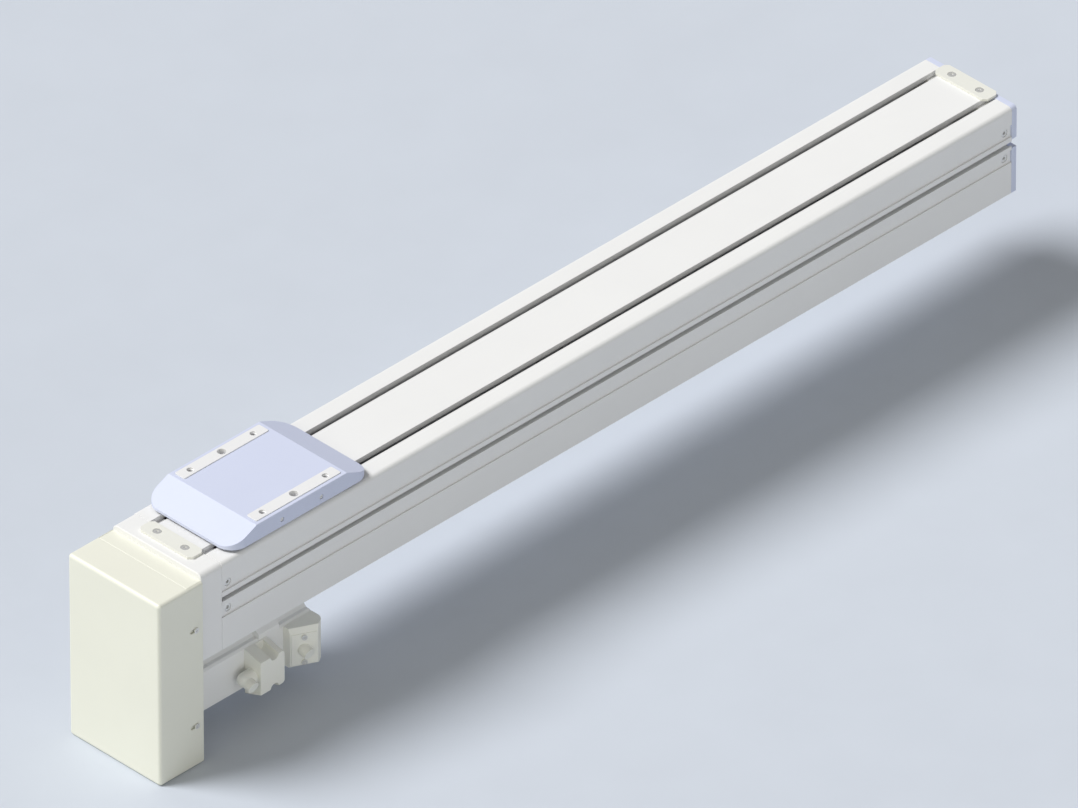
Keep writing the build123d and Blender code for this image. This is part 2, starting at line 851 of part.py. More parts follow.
def carriage_saddle():
    """Inner slide: bears on the guide blocks, holds the nut, and rises through the two slots."""
    start = carriage_rest_x - saddle_half_length
    section = rect(-saddle_half_width, saddle_half_width, saddle_bottom, saddle_top)
    section += rect(-keel_half_width, keel_half_width, keel_bottom, saddle_top)
    for side in (-1, 1):
        low, high = sorted((side * rib_inner, side * rib_outer))
        section += rect(low, high, saddle_top - 1, carriage_bottom)
    body = bar(section, start, 2 * saddle_half_length)
    end = start + 2 * saddle_half_length
    body -= rod(0, screw_z, nut_radius, end - nut_length, end)
    body -= rod(0, screw_z, screw_radius + screw_passage_gap, start, end - nut_length)
    for y, z in nut_bolt_places():
        body -= tapped(m4, nut_bolt_length, end, y, z, (-1, 0, 0))
    for x, y in plate_screw_places():
        body -= tapped(m3, plate_screw_length, x, y, carriage_bottom, (0, 0, -1))
    for x, y in all_guide_screw_places():
        body -= counterbore(m3, saddle_top - saddle_bottom - guide_screw_seat, x, y, saddle_top, (0, 0, -1))
        body -= tapped(m3, saddle_top - saddle_bottom, x, y, saddle_top, (0, 0, -1))
    return body


def guide_screw_places(side, along):
    """(x, y) of the two screws on the outer side of one guide block."""
    x = carriage_rest_x + along * guide_block_offset
    y = side * (rail_y + guide_screw_out)
    return [(x - guide_screw_half, y), (x + guide_screw_half, y)]


def all_guide_screw_places():
    return [
        place
        for side in (-1, 1)
        for along in (-1, 1)
        for place in guide_screw_places(side, along)
    ]


def guide_block_screws():
    seat = saddle_bottom + guide_screw_seat
    length = guide_screw_seat + guide_screw_grip
    screws = [screw(m3, length, x, y, seat, (0, 0, -1), socket=False) for x, y in all_guide_screw_places()]
    return Compound(children=screws)


def plate_screw_places():
    """(x, y) of the screws from the carriage plate down into the saddle's ribs."""
    rib_y = (rib_inner + rib_outer) / 2
    offsets = [plate_screw_pitch * (index - 1) for index in range(3)]
    return [(carriage_rest_x + offset, side * rib_y) for side in (-1, 1) for offset in offsets]


def pad_form(side, gap, z_low, z_high):
    """Raised pad with rounded corners, or its window in the cover when widened by the gap."""
    outline = Rectangle(2 * (pad_half_length + gap), pad_width + 2 * gap)
    outline = fillet(outline.vertices(), pad_corner + gap)
    outline = Pos(carriage_rest_x, side * mount_row_half) * outline
    return extrude(Plane.XY.offset(z_low) * outline, amount=z_high - z_low)


def carriage_plate():
    """Machined plate whose two raised pads stand through the cover."""
    x_low = carriage_rest_x - plate_half_length
    x_high = carriage_rest_x + plate_half_length
    body = block(x_low, x_high, -plate_half_width, plate_half_width, carriage_bottom, plate_top)
    for side in (-1, 1):
        body += pad_form(side, 0, plate_top - 1, pad_top)
        row = side * mount_row_half
        for along in (-1, 1):
            x = carriage_rest_x + along * mount_hole_half
            body -= drill(x, row, pad_top, mount_hole_radius, mount_hole_depth, (0, 0, -1))
            start = (carriage_rest_x + along * side_screw_offset, side * plate_half_width)
            z = profile_height + side_screw_height
            body -= tapped(m3, 8.0, *start, z, (0, -side, 0))
        body -= drill(carriage_rest_x, row, pad_top, dowel_hole_radius, mount_hole_depth, (0, 0, -1))
    for x, y in plate_screw_places():
        body -= counterbore(m3, m3[2] + screw_sink, x, y, plate_top, (0, 0, -1))
        body -= tapped(m3, plate_top - carriage_bottom, x, y, plate_top, (0, 0, -1))
    return body


def plate_screws():
    screws = [
        screw(m3, plate_screw_length, x, y, plate_screw_seat, (0, 0, -1)) for x, y in plate_screw_places()
    ]
    return Compound(children=screws)


def cover_form(inset):
    """Outer form of the carriage cover, or its hollow when inset by the wall."""
    top = carriage_top - inset
    bottom = carriage_bottom - (1 if inset else 0)
    flat = cover_flat_half
    brk = cover_break_half
    slope = (carriage_height - cover_break_drop - cover_tip_height) / (carriage_half_length - brk)
    tip = carriage_half_length - inset
    slope_drop = inset * math.sqrt(1 + slope * slope)
    break_z = carriage_top - cover_break_drop - slope_drop
    tip_z = break_z - slope * (tip - brk)
    points = [
        (-tip, bottom),
        (-tip, tip_z),
        (-brk, break_z),
        (-flat, top),
        (flat, top),
        (brk, break_z),
        (tip, tip_z),
        (tip, bottom),
    ]
    side_view = Polygon(*points, align=None)
    form = extrude(Plane.XZ * side_view, amount=half_width - inset, both=True)
    plan = Rectangle(2 * tip, 2 * (half_width - inset))
    plan = fillet(plan.vertices(), cover_corner_radius - inset)
    form &= extrude(Plane.XY.offset(bottom) * plan, amount=carriage_height + 5)
    return Pos(carriage_rest_x, 0, 0) * form


def carriage_cover():
    body = cover_form(0)
    long_edges = body.edges().filter_by(Axis.X).group_by(Axis.Z)[-1]
    body = fillet(long_edges, cover_edge_radius)
    body -= cover_form(cover_wall)
    for side in (-1, 1):
        body -= pad_form(side, pad_gap, plate_top - 1, carriage_top + 1)
        for along in (-1, 1):
            x = carriage_rest_x + along * side_screw_offset
            z = profile_height + side_screw_height
            body -= drill(x, side * half_width, z, m3[0] + cover_side_hole_gap, cover_wall, (0, -side, 0))
    return body


def cover_side_screws():
    grub = (m3[0], m3[0] + 0.55, 1.4, 1.5)
    screws = []
    for side in (-1, 1):
        for along in (-1, 1):
            x = carriage_rest_x + along * side_screw_offset
            z = profile_height + side_screw_height
            screws.append(screw(grub, 7.0, x, side * plate_half_width, z, (0, -side, 0)))
    return Compound(children=screws)


# Pulley housing

def motor_mount_plate():
    y_half = housing_width / 2 - housing_wall
    outline = rect(-y_half, y_half, housing_bottom, housing_top)
    outline = fillet(outline.vertices(), mount_plate_edge)
    body = bar(outline, mount_plate_start_x, mount_plate_thickness)
    body = chamfer(body.faces().sort_by(Axis.X)[0].edges(), joint_edge)
    body -= rod(0, screw_z, screw_passage_radius, mount_plate_start_x, block_start_x)
    body -= rod(0, motor_z, screw_passage_radius, mount_plate_start_x, block_start_x)
    body -= rod(0, motor_z, motor_pilot_radius + 0.1, block_start_x - motor_pilot - 0.3, block_start_x)
    for y, z in plate_bolt_places():
        body -= counterbore(m6, m6[2] + plate_bolt_sink, mount_plate_start_x, y, z, (1, 0, 0))
        body -= tapped(m6, mount_plate_thickness, mount_plate_start_x, y, z, (1, 0, 0))
    for y, z in motor_bolt_places():
        body -= tapped(m5, motor_bolt_grip, block_start_x, y, z, (-1, 0, 0))
    for side in (-1, 1):
        for z in (housing_screw_low, housing_screw_high):
            place = (housing_screw_x, side * y_half, z)
            body -= tapped(m3, 9.0, *place, (0, -side, 0))
    return body


def mount_plate_bolts():
    places = plate_bolt_places()
    bolts = [screw(m6, plate_bolt_length, plate_bolt_seat, y, z, (1, 0, 0)) for y, z in places]
    return Compound(children=bolts)


def pulley_cover():
    """Deep moulded cap; its side walls reach on over the edges of the mounting plate."""
    half = housing_width / 2
    outline = rect(-half, half, housing_bottom, housing_top)
    body = bar(outline, housing_start_x, housing_depth)
    body = fillet(body.edges().filter_by(Axis.X), housing_edge_radius)
    body = fillet(body.faces().sort_by(Axis.X)[0].edges(), housing_edge_radius)
    inner_half = half - housing_wall
    front = housing_start_x + housing_front_wall
    low = housing_bottom + housing_wall
    high = housing_top - housing_wall
    hollow = rect(-inner_half, inner_half, low, high)
    hollow = fillet(hollow.vertices(), mount_plate_edge)
    body -= bar(hollow, front, mount_plate_start_x - front)
    body -= block(
        mount_plate_start_x,
        block_start_x + 1,
        -inner_half,
        inner_half,
        housing_bottom - 1,
        housing_top + 1,
    )
    for side in (-1, 1):
        for z in (housing_screw_low, housing_screw_high):
            seat = Plane(origin=(housing_screw_x, side * (half + 1), z), z_dir=(0, -side, 0), x_dir=(1, 0, 0))
            offset = -(housing_slot_length - housing_slot_width) / 2
            slot = Pos(offset, 0) * SlotOverall(housing_slot_length, housing_slot_width)
            body -= extrude(seat * slot, amount=housing_wall + 2)
    return body


def cover_screws():
    half = housing_width / 2
    screws = []
    for side in (-1, 1):
        for z in (housing_screw_low, housing_screw_high):
            screws.append(screw(low_m3, 9.0, housing_screw_x, side * half, z, (0, -side, 0)))
    return Compound(children=screws)


# Motor

def motor_bolt_places():
    """(y, z) of the motor's four flange bolts."""
    reach = motor_bolt_circle / 2 / math.sqrt(2)
    return [(y * reach, motor_z + z * reach) for y in (-1, 1) for z in (-1, 1)]


def motor_corner_points(y_sign, z_sign):
    """One fluted corner of the motor section, from the side flat round to the top flat."""
    half = motor_frame / 2
    flat = motor_flat_half
    shoulder = flat + motor_flat_chamfer
    recess = half - motor_flat_chamfer - motor_ledge
    corner = [
        (half, flat),
        (half - motor_flat_chamfer, shoulder),
        (recess, shoulder),
        (shoulder, recess),
        (shoulder, half - motor_flat_chamfer),
        (flat, half),
    ]
    return [(y_sign * y, z_sign * z) for y, z in corner]


def motor_section():
    """Square frame with a recessed flute along each corner."""
    points = motor_corner_points(1, 1)
    points += motor_corner_points(-1, 1)[::-1]
    points += motor_corner_points(-1, -1)
    points += motor_corner_points(1, -1)[::-1]
    return Pos(0, motor_z) * Polygon(*points, align=None)


def motor_front_flange():
    half = motor_frame / 2
    outline = rect(-half, half, motor_z - half, motor_z + half)
    outline = fillet(outline.vertices(), motor_flange_corner)
    body = bar(outline, motor_start_x, motor_flange)
    body += rod(0, motor_z, motor_pilot_radius, motor_start_x - motor_pilot, motor_start_x)
    body -= rod(0, motor_z, motor_seal_radius, motor_start_x - motor_pilot, motor_start_x + motor_seal_depth)
    body -= rod(
        0, motor_z, motor_shaft_radius + running_clearance, motor_start_x, motor_start_x + motor_flange
    )
    for y, z in motor_bolt_places():
        body -= tapped(m5, motor_flange, motor_start_x, y, z, (1, 0, 0))
    return body


def motor_shaft_seal():
    inner = motor_shaft_radius + turning_gap
    end = motor_start_x + motor_seal_depth
    return tube(0, motor_z, motor_seal_radius, inner, end - motor_seal_width, end)


def motor_body():
    start = motor_start_x + motor_flange
    body = bar(motor_section(), start, motor_rear_x - start)
    shaft_end = motor_start_x + motor_shaft_depth + 0.5
    body -= rod(0, motor_z, motor_shaft_radius + running_clearance, start, shaft_end)
    for y, z in motor_bolt_places():
        body -= rod(y, z, m5[1] + 0.4, start, start + 2 * m5[2])
    return body


def motor_encoder_housing():
    """Rear housing; its upper corner on the connector side is filled where the leads come out."""
    body = bar(motor_section(), motor_rear_x, motor_end_x - motor_rear_x)
    half = motor_frame / 2
    shoulder = motor_flat_half
    fill = Polygon(
        (-shoulder, motor_z + half),
        (-shoulder - motor_box_step, motor_z + half),
        (-half, motor_z + shoulder + motor_box_step),
        (-half, motor_z + shoulder),
        (-shoulder, motor_z + shoulder),
        align=None,
    )
    body += bar(fill, motor_rear_x, motor_box_end_x - motor_rear_x)
    rear_edges = body.faces().sort_by(Axis.X)[-1].edges()
    return chamfer(rear_edges, motor_rear_radius / 2)


def motor_screws():
    seat = motor_start_x + motor_flange
    screws = [screw(m5, motor_bolt_length, seat, y, z, (-1, 0, 0)) for y, z in motor_bolt_places()]
    return Compound(children=screws)


def motor_shaft():
    start = motor_start_x - motor_shaft_reach
    return rod(0, motor_z, motor_shaft_radius, start, motor_start_x + motor_shaft_depth)


# Connectors

def connector_section():
    """Section of a motor connector, deep at the motor and tapering outward."""
    inner_y = -motor_frame / 2
    outer_y = inner_y - connector_reach
    return Polygon(
        (inner_y, motor_z - motor_flat_half),
        (inner_y, motor_z + connector_inner_high),
        (outer_y, motor_z + connector_outer_high),
        (outer_y, motor_z - connector_outer_low),
        (inner_y - connector_foot, motor_z - connector_inner_low),
        (inner_y - connector_foot, motor_z - motor_flat_half - 1),
        align=None,
    )


def power_connector():
    body = bar(connector_section(), connector_one_x, connector_one_length)
    boss_y = -motor_frame / 2 - boss_out
    for z in (motor_z + connector_inner_high, motor_z - connector_inner_low):
        rear_end = (connector_one_x + connector_one_length, boss_y, z)
        body = fillet(body.edges().sort_by_distance(rear_end)[0], connector_rear_radius)
    body -= connector_grooves()
    boss_end = connector_one_x - boss_length
    body += rod(boss_y, motor_z - boss_drop, boss_radius, boss_end, connector_one_x)
    return body


def connector_grooves():
    """Level thumb grooves with round bottoms, across the top and the bottom of the power connector."""
    radius = connector_groove_width / 2
    inner_y = -motor_frame / 2 - connector_groove_wall
    cuts = []
    for edge_z, side in ((connector_outer_high, 1), (-connector_outer_low, -1)):
        z = motor_z + edge_z - side * (connector_groove_depth - radius)
        outline = Pos(connector_groove_x, z) * Circle(radius)
        outline += Pos(connector_groove_x, z + side * radius) * Rectangle(2 * radius, 2 * radius)
        cuts.append(extrude(Plane.XZ.offset(-inner_y) * outline, amount=connector_reach))
    return cuts


def outlet_elbow(x, y, z, ball_radius, reach):
    """Ball whose round outlet turns to the open side, where a lead would leave."""
    outlet = Plane(origin=(x, y, z), z_dir=(0, -1, -elbow_droop))
    return Pos(x, y, z) * Sphere(ball_radius) + extrude(outlet * Circle(boss_end_radius), amount=reach)


def power_cable_gland():
    x = connector_one_x - boss_length
    y = -motor_frame / 2 - boss_out
    z = motor_z - boss_drop
    body = outlet_elbow(x, y, z, boss_radius, elbow_reach)
    return body - rod(y, z, boss_radius, x, connector_one_x)


def encoder_connector():
    """Wedge with a slanted outer face, bevelled above and below the raised panel on it."""
    inner_y = -motor_frame / 2
    rear_y = inner_y - connector_two_rear_reach
    plan = Polygon(
        (connector_two_x, inner_y),
        (connector_two_x, inner_y - connector_two_near_reach),
        (connector_two_face_end, inner_y - connector_two_far_reach),
        (connector_two_end, rear_y),
        (connector_two_end, inner_y),
        align=None,
    )
    low = motor_z - connector_two_low
    high = motor_z + connector_inner_high
    body = extrude(Plane.XY.offset(low) * plan, amount=high - low)
    upright = body.edges().filter_by(Axis.Z)
    body = fillet(upright.sort_by_distance((connector_two_end, rear_y, motor_z))[0], connector_two_corner)
    for level, height in ((high, bevel_height), (low, sole_height)):
        face = body.faces().sort_by_distance(encoder_face(motor_z).origin)[0]
        edge = face.edges().sort_by_distance(encoder_face(level).origin)[0]
        body = chamfer(edge, height, bevel_depth, reference=face)
    panel = Rectangle(panel_width, panel_height)
    body += extrude(encoder_face(motor_z - panel_drop) * panel, amount=panel_rise)
    for place, inward in connector_screw_places():
        body -= tapped(m3, connector_screw_length, *place, inward)
    return body


def encoder_face(z):
    """Plane on the slanted outer face of the encoder connector, at its middle and height z."""
    rise = connector_two_far_reach - connector_two_near_reach
    run = connector_two_face_end - connector_two_x
    angle = math.atan2(rise, run)
    y = -motor_frame / 2 - connector_two_near_reach - rise / 2
    along = (math.cos(angle), -math.sin(angle), 0)
    outward = (-math.sin(angle), -math.cos(angle), 0)
    return Plane(origin=(connector_two_x + run / 2, y, z), x_dir=along, z_dir=outward)


def encoder_cable_gland():
    seat = encoder_face(motor_z - boss_drop).offset(panel_rise)
    body = outlet_elbow(*seat.origin, encoder_ball_radius, encoder_elbow_reach)
    reach = 4 * encoder_ball_radius
    return body - extrude(seat * Rectangle(reach, reach), amount=-reach)


def connector_screw_places():
    """Seats of the two panel screws, each with the direction into the connector."""
    places = []
    for side in (-1, 1):
        seat = encoder_face(motor_z - boss_drop + side * connector_screw_half).offset(panel_rise)
        places.append((tuple(seat.origin), tuple(-seat.z_dir)))
    return places


def connector_screws():
    screws = []
    for place, inward in connector_screw_places():
        screws.append(screw(low_m3, connector_screw_length, *place, inward))
    return Compound(children=screws)


nodes = {
    "base_profile": base_profile,
    "profile_side_screws": profile_side_screws,
    "cover_strip": cover_strip,
    "strip_clamp_drive_end": lambda: strip_clamp(clamp_near_x),
    "strip_clamp_idle_end": lambda: strip_clamp(clamp_far_x),
    "clamp_screws": clamp_screws,
    "drive_end_block": drive_end_block,
    "fixed_bearing_outer_rings": fixed_bearing_outer_rings,
    "bearing_retainer": bearing_retainer,
    "bearing_retainer_screws": bearing_retainer_screws,
    "idle_end_block": idle_end_block,
    "idle_bearing_outer_ring": lambda: bearing_outer(
        idle_bearing_radius, idle_journal_radius, idle_bearing_x, bearing_width
    ),
    "end_plate": end_plate,
    "end_plate_screws": end_plate_screws,
    "stop_bumper_drive_end": lambda: stop_bumper(spigot_length),
    "stop_bumper_idle_end": lambda: stop_bumper(idle_start_x - bumper_length),
    "guide_rail_right": lambda: guide_rail(-1),
    "guide_rail_left": lambda: guide_rail(1),
    "rail_screws": rail_screws,
    "motor_mount_plate": motor_mount_plate,
    "mount_plate_bolts": mount_plate_bolts,
    "pulley_cover": pulley_cover,
    "pulley_cover_screws": cover_screws,
    "timing_belt": timing_belt,
    "motor_front_flange": motor_front_flange,
    "motor_shaft_seal": motor_shaft_seal,
    "motor_body": motor_body,
    "motor_encoder_housing": motor_encoder_housing,
    "motor_screws": motor_screws,
    "power_connector": power_connector,
    "power_cable_gland": power_cable_gland,
    "encoder_connector": encoder_connector,
    "encoder_cable_gland": encoder_cable_gland,
    "connector_screws": connector_screws,
    "carriage_plate": carriage_plate,
    "carriage_cover": carriage_cover,
    "cover_side_screws": cover_side_screws,
    "carriage_saddle": carriage_saddle,
    "plate_screws": plate_screws,
    "guide_block_screws": guide_block_screws,
    "ball_nut": ball_nut,
    "nut_screws": nut_screws,
    "guide_block_drive_right": lambda: guide_block(-1, -1),
    "guide_block_drive_left": lambda: guide_block(1, -1),
    "guide_block_idle_right": lambda: guide_block(-1, 1),
    "guide_block_idle_left": lambda: guide_block(1, 1),
    "ball_screw": ball_screw,
    "fixed_bearing_inner_rings": fixed_bearing_inner_rings,
    "bearing_lock_nut": bearing_lock_nut,
    "idle_bearing_inner_ring": lambda: bearing_inner(idle_journal_radius, idle_bearing_x, bearing_width),
    "journal_circlip": journal_circlip,
    "screw_pulley": screw_pulley,
    "motor_shaft": motor_shaft,
    "motor_pulley": motor_pulley,
}

# The finished frame has its origin at the centre of the base mounting pattern
os.makedirs("parts", exist_ok=True)
for name, make in nodes.items():
    export_step(Pos(-base_centre_x, 0, 0) * make(), f"parts/{name}.step")
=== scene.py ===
import json
import math

import bmesh
import bpy
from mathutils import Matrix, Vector


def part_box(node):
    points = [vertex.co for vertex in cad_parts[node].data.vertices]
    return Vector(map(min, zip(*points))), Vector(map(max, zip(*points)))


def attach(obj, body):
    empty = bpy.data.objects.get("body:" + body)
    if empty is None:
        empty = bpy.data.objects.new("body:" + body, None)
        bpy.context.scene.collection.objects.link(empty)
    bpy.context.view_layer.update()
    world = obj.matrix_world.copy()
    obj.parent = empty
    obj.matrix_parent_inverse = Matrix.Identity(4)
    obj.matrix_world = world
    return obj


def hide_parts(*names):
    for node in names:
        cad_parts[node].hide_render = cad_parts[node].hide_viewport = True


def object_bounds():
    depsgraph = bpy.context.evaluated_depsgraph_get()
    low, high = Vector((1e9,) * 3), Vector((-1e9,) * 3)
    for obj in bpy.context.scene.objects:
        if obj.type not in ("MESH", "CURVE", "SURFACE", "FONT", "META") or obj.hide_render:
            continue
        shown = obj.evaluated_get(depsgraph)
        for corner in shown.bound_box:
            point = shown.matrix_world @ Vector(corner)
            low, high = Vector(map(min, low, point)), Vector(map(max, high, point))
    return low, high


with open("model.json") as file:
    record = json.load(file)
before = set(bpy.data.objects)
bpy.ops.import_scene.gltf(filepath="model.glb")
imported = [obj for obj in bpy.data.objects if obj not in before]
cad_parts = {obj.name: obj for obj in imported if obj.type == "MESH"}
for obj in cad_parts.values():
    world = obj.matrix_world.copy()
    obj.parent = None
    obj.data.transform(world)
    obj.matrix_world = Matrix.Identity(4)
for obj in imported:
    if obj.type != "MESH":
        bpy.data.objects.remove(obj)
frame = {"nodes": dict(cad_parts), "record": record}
nodes = frame["nodes"]
cadLow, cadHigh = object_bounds()
print("frame loaded with", len(nodes), "nodes")


# Camera at the photograph's angle, through a very long lens
camera = {
    "azimuth": -45.0,
    "elevation": 35.264,
    "aim": (-0.191, -0.0763, 0.0888),
    "frameWidth": 0.903,
    "lens": 1000.0,
    "sensor": 36.0,
}


def placeCamera():
    data = bpy.data.cameras.new("photoCamera")
    data.lens = camera["lens"]
    data.sensor_width = camera["sensor"]
    distance = camera["frameWidth"] * camera["lens"] / camera["sensor"]
    data.clip_start = distance / 10
    data.clip_end = distance * 10
    azimuth = math.radians(camera["azimuth"])
    elevation = math.radians(camera["elevation"])
    back = Vector((
        math.sin(azimuth) * math.cos(elevation),
        -math.cos(azimuth) * math.cos(elevation),
        math.sin(elevation),
    ))
    obj = bpy.data.objects.new("photoCamera", data)
    obj.location = Vector(camera["aim"]) + back * distance
    obj.rotation_euler = (-back).to_track_quat("-Z", "Y").to_euler()
    bpy.context.scene.collection.objects.link(obj)
    bpy.context.scene.camera = obj
    bpy.context.scene.view_settings.view_transform = "Standard"


placeCamera()
print("camera placed")


# Shader node helpers
def addNode(tree, kind, x, y, **values):
    node = tree.nodes.new(kind)
    node.location = (x, y)
    for name, value in values.items():
        setattr(node, name, value)
    return node


def startGroup(name, inputs, outputs):
    tree = bpy.data.node_groups.new(name, "ShaderNodeTree")
    for label, kind, start in inputs:
        socket = tree.interface.new_socket(name=label, in_out="INPUT", socket_type=kind)
        socket.default_value = start
    for label, kind in outputs:
        tree.interface.new_socket(name=label, in_out="OUTPUT", socket_type=kind)
    return tree, addNode(tree, "NodeGroupInput", -900, 0), addNode(tree, "NodeGroupOutput", 700, 0)


# Slow drift of tone over a surface, as handled metal and paint have
drift = {"amount": 0.05, "scale": 16.0, "detail": 3.0}


def makeToneDrift():
    tree, inside, out = startGroup(
        "toneDrift",
        [
            ("Color", "NodeSocketColor", (0.8, 0.8, 0.8, 1)),
            ("Amount", "NodeSocketFloat", drift["amount"]),
            ("Scale", "NodeSocketFloat", drift["scale"]),
        ],
        [("Color", "NodeSocketColor")],
    )
    place = addNode(tree, "ShaderNodeTexCoord", -900, -300)
    noise = addNode(tree, "ShaderNodeTexNoise", -650, -200)
    noise.inputs["Detail"].default_value = drift["detail"]
    centred = addNode(tree, "ShaderNodeMath", -420, -200, operation="SUBTRACT")
    centred.inputs[1].default_value = 0.5
    swing = addNode(tree, "ShaderNodeMath", -220, -120, operation="MULTIPLY")
    value = addNode(tree, "ShaderNodeMath", -20, -120, operation="ADD")
    value.inputs[1].default_value = 1.0
    tint = addNode(tree, "ShaderNodeHueSaturation", 250, 0)
    links = tree.links
    links.new(place.outputs["Object"], noise.inputs["Vector"])
    links.new(inside.outputs["Scale"], noise.inputs["Scale"])
    links.new(noise.outputs["Fac"], centred.inputs[0])
    links.new(centred.outputs[0], swing.inputs[0])
    links.new(inside.outputs["Amount"], swing.inputs[1])
    links.new(swing.outputs[0], value.inputs[0])
    links.new(value.outputs[0], tint.inputs["Value"])
    links.new(inside.outputs["Color"], tint.inputs["Color"])
    links.new(tint.outputs["Color"], out.inputs["Color"])
    return tree


# Fine lines left by a die, a mill or a lathe; Stretch is their count per metre along each axis
toolLines = {"depth": 0.000012, "detail": 4.0, "roughness": 0.6, "strength": 0.6}


def makeToolMarks():
    tree, inside, out = startGroup(
        "toolMarks",
        [
            ("Stretch", "NodeSocketVector", (4.0, 900.0, 900.0)),
            ("Depth", "NodeSocketFloat", toolLines["depth"]),
        ],
        [("Shade", "NodeSocketFloat"), ("Normal", "NodeSocketVector")],
    )
    place = addNode(tree, "ShaderNodeTexCoord", -900, -300)
    spread = addNode(tree, "ShaderNodeVectorMath", -680, -150, operation="MULTIPLY")
    noise = addNode(tree, "ShaderNodeTexNoise", -450, -100)
    noise.inputs["Scale"].default_value = 1.0
    noise.inputs["Detail"].default_value = toolLines["detail"]
    noise.inputs["Roughness"].default_value = toolLines["roughness"]
    bump = addNode(tree, "ShaderNodeBump", 200, -200)
    bump.inputs["Strength"].default_value = toolLines["strength"]
    links = tree.links
    links.new(place.outputs["Object"], spread.inputs[0])
    links.new(inside.outputs["Stretch"], spread.inputs[1])
    links.new(spread.outputs["Vector"], noise.inputs["Vector"])
    links.new(noise.outputs["Fac"], bump.inputs["Height"])
    links.new(inside.outputs["Depth"], bump.inputs["Distance"])
    links.new(noise.outputs["Fac"], out.inputs["Shade"])
    links.new(bump.outputs["Normal"], out.inputs["Normal"])
    return tree


# Rounded pebbling of powder coat and moulded plastic; Scale is its pebbles per metre
pebbling = {"depth": 0.00003, "smoothness": 1.0, "noiseDetail": 2.0, "pebbleShare": 0.5, "strength": 0.5}


def makeCoatPeel():
    tree, inside, out = startGroup(
        "coatPeel",
        [
            ("Scale", "NodeSocketFloat", 900.0),
            ("Depth", "NodeSocketFloat", pebbling["depth"]),
        ],
        [("Shade", "NodeSocketFloat"), ("Normal", "NodeSocketVector")],
    )
    place = addNode(tree, "ShaderNodeTexCoord", -900, -300)
    pebble = addNode(tree, "ShaderNodeTexVoronoi", -600, 0, feature="SMOOTH_F1")
    pebble.inputs["Smoothness"].default_value = pebbling["smoothness"]
    noise = addNode(tree, "ShaderNodeTexNoise", -600, -320)
    noise.inputs["Detail"].default_value = pebbling["noiseDetail"]
    both = addNode(tree, "ShaderNodeMath", -300, -100, operation="MULTIPLY_ADD")
    both.inputs[1].default_value = pebbling["pebbleShare"]
    bump = addNode(tree, "ShaderNodeBump", 200, -200)
    bump.inputs["Strength"].default_value = pebbling["strength"]
    links = tree.links
    links.new(place.outputs["Object"], pebble.inputs["Vector"])
    links.new(place.outputs["Object"], noise.inputs["Vector"])
    links.new(inside.outputs["Scale"], pebble.inputs["Scale"])
    links.new(inside.outputs["Scale"], noise.inputs["Scale"])
    links.new(pebble.outputs["Distance"], both.inputs[0])
    links.new(noise.outputs["Fac"], both.inputs[2])
    links.new(both.outputs[0], bump.inputs["Height"])
    links.new(inside.outputs["Depth"], bump.inputs["Distance"])
    links.new(both.outputs[0], out.inputs["Shade"])
    links.new(bump.outputs["Normal"], out.inputs["Normal"])
    return tree


toneDrift = makeToneDrift()
toolMarks = makeToolMarks()
coatPeel = makeCoatPeel()
print("node groups built")


# Finishes by the record's slot: colour, roughness range, and tool marks or pebbles per metre
alongX = (5.0, 1400.0, 1400.0)
aroundX = (1600.0, 6.0, 6.0)
allOver = (500.0, 500.0, 500.0)
metalFinishes = {
    "clear_anodised": {"color": (0.79, 0.79, 0.79), "metal": 0.0, "rough": (0.56, 0.66), "marks": alongX},
    "machined_aluminium": {"color": (0.82, 0.82, 0.83), "metal": 0.1, "rough": (0.50, 0.60), "marks": alongX},
    "lavender_anodised": {"color": (0.60, 0.64, 0.80), "metal": 0.0, "rough": (0.52, 0.60), "marks": allOver},
    "motor_casting": {"color": (0.84, 0.84, 0.83), "metal": 0.3, "rough": (0.42, 0.55), "marks": allOver},
    "ground_steel": {"color": (0.70, 0.71, 0.73), "metal": 1.0, "rough": (0.18, 0.28), "marks": aroundX},
    "guide_steel": {"color": (0.60, 0.61, 0.63), "metal": 1.0, "rough": (0.26, 0.38), "marks": alongX},
    "dark_steel": {"color": (0.10, 0.10, 0.11), "metal": 0.7, "rough": (0.34, 0.46), "marks": allOver},
    "screw_steel": {"color": (0.74, 0.74, 0.73), "metal": 0.6, "rough": (0.28, 0.40), "marks": allOver},
    "pulley_aluminium": {"color": (0.74, 0.75, 0.77), "metal": 0.9, "rough": (0.28, 0.40), "marks": aroundX},
}
coatFinishes = {
    "ivory_coat": {"color": (0.78, 0.78, 0.69), "rough": (0.40, 0.48), "peel": 800.0, "coat": 0.15},
    "clamp_plate": {"color": (0.76, 0.76, 0.71), "rough": (0.38, 0.46), "peel": 1200.0, "coat": 0.1},
    "motor_coat": {"color": (0.88, 0.88, 0.87), "rough": (0.42, 0.52), "peel": 1000.0, "coat": 0.1},
    "connector_shell": {"color": (0.90, 0.90, 0.84), "rough": (0.42, 0.52), "peel": 1600.0, "coat": 0.0},
    "belt_rubber": {"color": (0.035, 0.035, 0.037), "rough": (0.55, 0.70), "peel": 1400.0, "coat": 0.0},
    "black_rubber": {"color": (0.03, 0.03, 0.03), "rough": (0.50, 0.62), "peel": 1100.0, "coat": 0.0},
}
coatRoughness = 0.25
shadeRange = (0.25, 0.75)  # the part of a texture's shade that spans the roughness range


